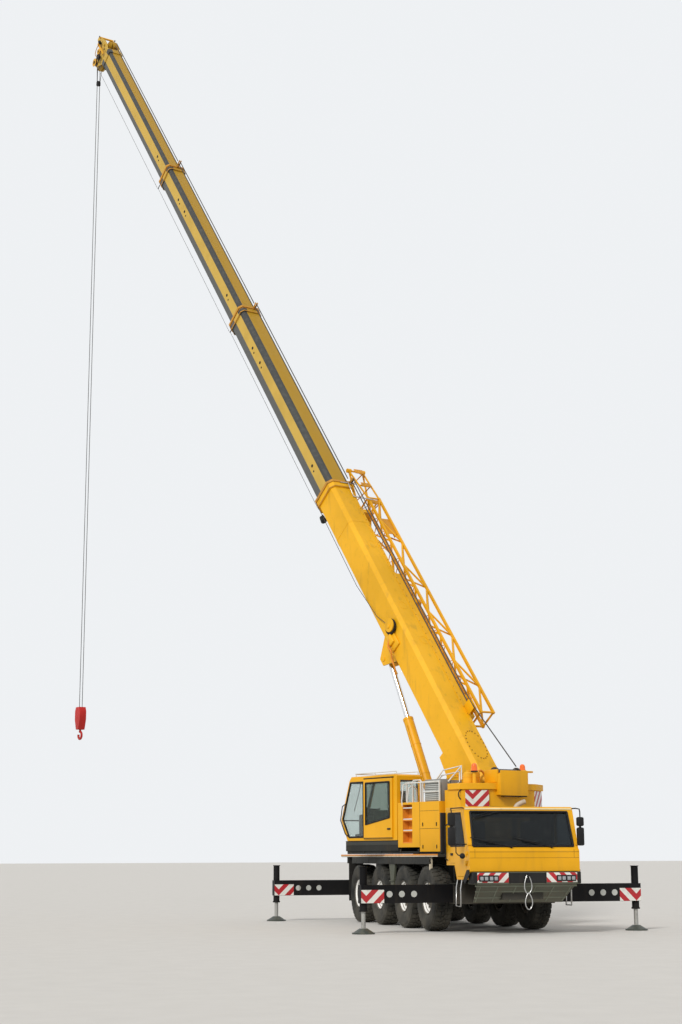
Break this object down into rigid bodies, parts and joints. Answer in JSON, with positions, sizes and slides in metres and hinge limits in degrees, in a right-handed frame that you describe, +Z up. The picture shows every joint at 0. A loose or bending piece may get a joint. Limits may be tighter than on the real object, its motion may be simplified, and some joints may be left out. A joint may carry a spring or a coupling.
{
  "type": "mobile crane",
  "caption": "Four-axle all-terrain mobile crane on outriggers, with a four-part telescopic boom raised and its hook block hanging.",
  "frame": {"origin": "centre of the bounding box's footprint, on the ground", "axes": "+X to the front of the carrier, +Y to its left, +Z up"},
  "size_m": [24.822, 9.7588, 31.1667],
  "materials": {
    "body_yellow": "satin yellow paint, dusty",
    "boom_olive": "satin olive-yellow paint, faded",
    "deck_grey": "grey paint, walked on",
    "housing_grey": "grey paint",
    "bumper_olive": "satin olive-grey paint",
    "underbody_black": "dull black paint, dusty",
    "outrigger_black": "satin black paint",
    "jack_grey": "dull steel",
    "rim_white": "white paint, dusty",
    "tyre_rubber": "dull black rubber",
    "chrome_rod": "polished",
    "rope_steel": "greased wire",
    "hook_red": "red paint, chipped",
    "interior_dark": "matt dark trim",
    "window_glass": "clear glass"
  },
  "bodies": {
    "chassis": {"chassis_frame": "underbody_black", "axles": "underbody_black", "deck": "deck_grey", "cab_shell": "body_yellow", "cab_glass": "window_glass", "bumper": "bumper_olive", "cab_interior": "interior_dark", "engine": "underbody_black"},
    "superstructure": {"turntable": "underbody_black", "upper_housing": "body_yellow", "counterweight": "body_yellow", "operator_cab": "body_yellow", "operator_cab_glass": "window_glass", "operator_seat": "interior_dark"},
    "winch": {"winch_drum": "rope_steel"},
    "operator_door": {"operator_cab_door": "body_yellow"},
    "boom": {"boom_base": "body_yellow", "jib": "body_yellow"},
    "boom_one": {"boom_section_1": "boom_olive"},
    "boom_two": {"boom_section_2": "boom_olive"},
    "boom_three": {"boom_section_3": "boom_olive"},
    "cylinder_barrel": {"luff_barrel": "body_yellow"},
    "cylinder_rod": {"luff_rod": "chrome_rod"},
    "rope": {"hoist_rope": "rope_steel"},
    "hook": {"hook_block": "hook_red"},
    "door_left": {"cab_door_left": "body_yellow"},
    "door_right": {"cab_door_right": "body_yellow"},
    "wheel_1_left": {"tyre_1_left": "tyre_rubber", "rim_1_left": "rim_white"},
    "steer_1_left": {"knuckle_1_left": "underbody_black"},
    "wheel_1_right": {"tyre_1_right": "tyre_rubber", "rim_1_right": "rim_white"},
    "steer_1_right": {"knuckle_1_right": "underbody_black"},
    "wheel_2_left": {"tyre_2_left": "tyre_rubber", "rim_2_left": "rim_white"},
    "steer_2_left": {"knuckle_2_left": "underbody_black"},
    "wheel_2_right": {"tyre_2_right": "tyre_rubber", "rim_2_right": "rim_white"},
    "steer_2_right": {"knuckle_2_right": "underbody_black"},
    "wheel_3_left": {"tyre_3_left": "tyre_rubber", "rim_3_left": "rim_white"},
    "steer_3_left": {"knuckle_3_left": "underbody_black"},
    "wheel_3_right": {"tyre_3_right": "tyre_rubber", "rim_3_right": "rim_white"},
    "steer_3_right": {"knuckle_3_right": "underbody_black"},
    "wheel_4_left": {"tyre_4_left": "tyre_rubber", "rim_4_left": "rim_white"},
    "steer_4_left": {"knuckle_4_left": "underbody_black"},
    "wheel_4_right": {"tyre_4_right": "tyre_rubber", "rim_4_right": "rim_white"},
    "steer_4_right": {"knuckle_4_right": "underbody_black"},
    "beam_front_right": {"outrigger_beam_front_right": "outrigger_black"},
    "leg_front_right": {"jack_front_right": "jack_grey"},
    "beam_front_left": {"outrigger_beam_front_left": "outrigger_black"},
    "leg_front_left": {"jack_front_left": "jack_grey"},
    "beam_rear_right": {"outrigger_beam_rear_right": "outrigger_black"},
    "leg_rear_right": {"jack_rear_right": "jack_grey"},
    "beam_rear_left": {"outrigger_beam_rear_left": "outrigger_black"},
    "leg_rear_left": {"jack_rear_left": "jack_grey"}
  },
  "joints": [
    {"name": "steering_1_left", "type": "hinge", "parent": "chassis", "child": "steer_1_left", "pos_m": [9.831, 2.64, 0.7], "axis": [0, 0, 1], "range_deg": [-35, 35]},
    {"name": "rolling_1_left", "type": "hinge", "parent": "steer_1_left", "child": "wheel_1_left", "pos_m": [9.831, 2.73, 0.7], "axis": [0, 1, 0], "continuous": true},
    {"name": "steering_1_right", "type": "hinge", "parent": "chassis", "child": "steer_1_right", "pos_m": [9.831, 0.54, 0.7], "axis": [0, 0, 1], "range_deg": [-35, 35]},
    {"name": "rolling_1_right", "type": "hinge", "parent": "steer_1_right", "child": "wheel_1_right", "pos_m": [9.831, 0.45, 0.7], "axis": [0, 1, 0], "continuous": true},
    {"name": "steering_2_left", "type": "hinge", "parent": "chassis", "child": "steer_2_left", "pos_m": [8.181, 2.64, 0.7], "axis": [0, 0, 1], "range_deg": [-28, 28]},
    {"name": "rolling_2_left", "type": "hinge", "parent": "steer_2_left", "child": "wheel_2_left", "pos_m": [8.181, 2.73, 0.7], "axis": [0, 1, 0], "continuous": true},
    {"name": "steering_2_right", "type": "hinge", "parent": "chassis", "child": "steer_2_right", "pos_m": [8.181, 0.54, 0.7], "axis": [0, 0, 1], "range_deg": [-28, 28]},
    {"name": "rolling_2_right", "type": "hinge", "parent": "steer_2_right", "child": "wheel_2_right", "pos_m": [8.181, 0.45, 0.7], "axis": [0, 1, 0], "continuous": true},
    {"name": "steering_3_left", "type": "hinge", "parent": "chassis", "child": "steer_3_left", "pos_m": [6.331, 2.64, 0.7], "axis": [0, 0, 1], "range_deg": [-10.5, 10.5]},
    {"name": "rolling_3_left", "type": "hinge", "parent": "steer_3_left", "child": "wheel_3_left", "pos_m": [6.331, 2.73, 0.7], "axis": [0, 1, 0], "continuous": true},
    {"name": "steering_3_right", "type": "hinge", "parent": "chassis", "child": "steer_3_right", "pos_m": [6.331, 0.54, 0.7], "axis": [0, 0, 1], "range_deg": [-10.5, 10.5]},
    {"name": "rolling_3_right", "type": "hinge", "parent": "steer_3_right", "child": "wheel_3_right", "pos_m": [6.331, 0.45, 0.7], "axis": [0, 1, 0], "continuous": true},
    {"name": "steering_4_left", "type": "hinge", "parent": "chassis", "child": "steer_4_left", "pos_m": [4.581, 2.64, 0.7], "axis": [0, 0, 1], "range_deg": [-30, 30]},
    {"name": "rolling_4_left", "type": "hinge", "parent": "steer_4_left", "child": "wheel_4_left", "pos_m": [4.581, 2.73, 0.7], "axis": [0, 1, 0], "continuous": true},
    {"name": "steering_4_right", "type": "hinge", "parent": "chassis", "child": "steer_4_right", "pos_m": [4.581, 0.54, 0.7], "axis": [0, 0, 1], "range_deg": [-30, 30]},
    {"name": "rolling_4_right", "type": "hinge", "parent": "steer_4_right", "child": "wheel_4_right", "pos_m": [4.581, 0.45, 0.7], "axis": [0, 1, 0], "continuous": true},
    {"name": "slewing", "type": "hinge", "parent": "chassis", "child": "superstructure", "pos_m": [6.931, 1.59, 1.7], "axis": [0, 0, 1], "continuous": true},
    {"name": "luffing", "type": "hinge", "parent": "superstructure", "child": "boom", "pos_m": [7.97562, 1.93143, 3.193], "axis": [-0.3107, 0.9505, 0], "range_deg": [-52.4, 27.6]},
    {"name": "telescoping_1", "type": "slide", "parent": "boom", "child": "boom_one", "axis": [-0.58, -0.1896, 0.7923], "range_m": [-7.704, 0]},
    {"name": "telescoping_2", "type": "slide", "parent": "boom_one", "child": "boom_two", "axis": [-0.58, -0.1896, 0.7923], "range_m": [-7.704, 0]},
    {"name": "telescoping_3", "type": "slide", "parent": "boom_two", "child": "boom_three", "axis": [-0.58, -0.1896, 0.7923], "range_m": [-7.704, 0]},
    {"name": "cylinder_swing", "type": "hinge", "parent": "superstructure", "child": "cylinder_barrel", "pos_m": [7.10875, 1.6481, 1.99], "axis": [-0.3107, 0.9505, 0], "range_deg": [-48.22, 25.4]},
    {"name": "cylinder_stroke", "type": "slide", "parent": "cylinder_barrel", "child": "cylinder_rod", "axis": [-0.413, -0.135, 0.9007], "range_m": [-1.2356, 0.6513]},
    {"name": "hook_swing", "type": "hinge", "parent": "boom_three", "child": "rope", "pos_m": [-11.94506, -4.57965, 30.19414], "axis": [-0.3107, 0.9505, 0], "range_deg": [-27.61, 52.41]},
    {"name": "hoisting", "type": "slide", "parent": "rope", "child": "hook", "axis": [0, 0, -1], "range_m": [-22.8, 4.5], "deforming": ["hoist_rope"]},
    {"name": "winch_turning", "type": "hinge", "parent": "superstructure", "child": "winch", "pos_m": [9.30729, 2.36669, 3.35], "axis": [0.3107, -0.9505, 0], "continuous": true},
    {"name": "operator_door_sliding", "type": "slide", "parent": "superstructure", "child": "operator_door", "axis": [0.9505, 0.3107, 0], "range_m": [0, 1.05]},
    {"name": "door_left_opening", "type": "hinge", "parent": "chassis", "child": "door_left", "pos_m": [12.121, 2.825, 1.5], "axis": [0, 0, -1], "range_deg": [0, 70]},
    {"name": "door_right_opening", "type": "hinge", "parent": "chassis", "child": "door_right", "pos_m": [12.121, 0.355, 1.5], "axis": [0, 0, 1], "range_deg": [0, 70]},
    {"name": "outrigger_front_right", "type": "slide", "parent": "chassis", "child": "beam_front_right", "axis": [0, -1, 0], "range_m": [-1.72, 0]},
    {"name": "jacking_front_right", "type": "slide", "parent": "beam_front_right", "child": "leg_front_right", "axis": [0, 0, -1], "range_m": [-0.34, 0]},
    {"name": "outrigger_front_left", "type": "slide", "parent": "chassis", "child": "beam_front_left", "axis": [0, 1, 0], "range_m": [-1.72, 0]},
    {"name": "jacking_front_left", "type": "slide", "parent": "beam_front_left", "child": "leg_front_left", "axis": [0, 0, -1], "range_m": [-0.34, 0]},
    {"name": "outrigger_rear_right", "type": "slide", "parent": "chassis", "child": "beam_rear_right", "axis": [0, -1, 0], "range_m": [-1.72, 0]},
    {"name": "jacking_rear_right", "type": "slide", "parent": "beam_rear_right", "child": "leg_rear_right", "axis": [0, 0, -1], "range_m": [-0.34, 0]},
    {"name": "outrigger_rear_left", "type": "slide", "parent": "chassis", "child": "beam_rear_left", "axis": [0, 1, 0], "range_m": [-1.72, 0]},
    {"name": "jacking_rear_left", "type": "slide", "parent": "beam_rear_left", "child": "leg_rear_left", "axis": [0, 0, -1], "range_m": [-0.34, 0]}
  ],
  "couplings": [
    {"joint": "steering_1_right", "follows": "steering_1_left", "ratio": 1},
    {"joint": "steering_2_left", "follows": "steering_1_left", "ratio": 0.8},
    {"joint": "steering_2_right", "follows": "steering_1_left", "ratio": 0.8},
    {"joint": "steering_3_left", "follows": "steering_4_left", "ratio": 0.35},
    {"joint": "steering_3_right", "follows": "steering_4_left", "ratio": 0.35},
    {"joint": "steering_4_right", "follows": "steering_4_left", "ratio": 1},
    {"joint": "cylinder_swing", "follows": "luffing", "ratio": 0.92},
    {"joint": "cylinder_stroke", "follows": "luffing", "m_per_rad": 1.35},
    {"joint": "hook_swing", "follows": "luffing", "ratio": -1}
  ]
}
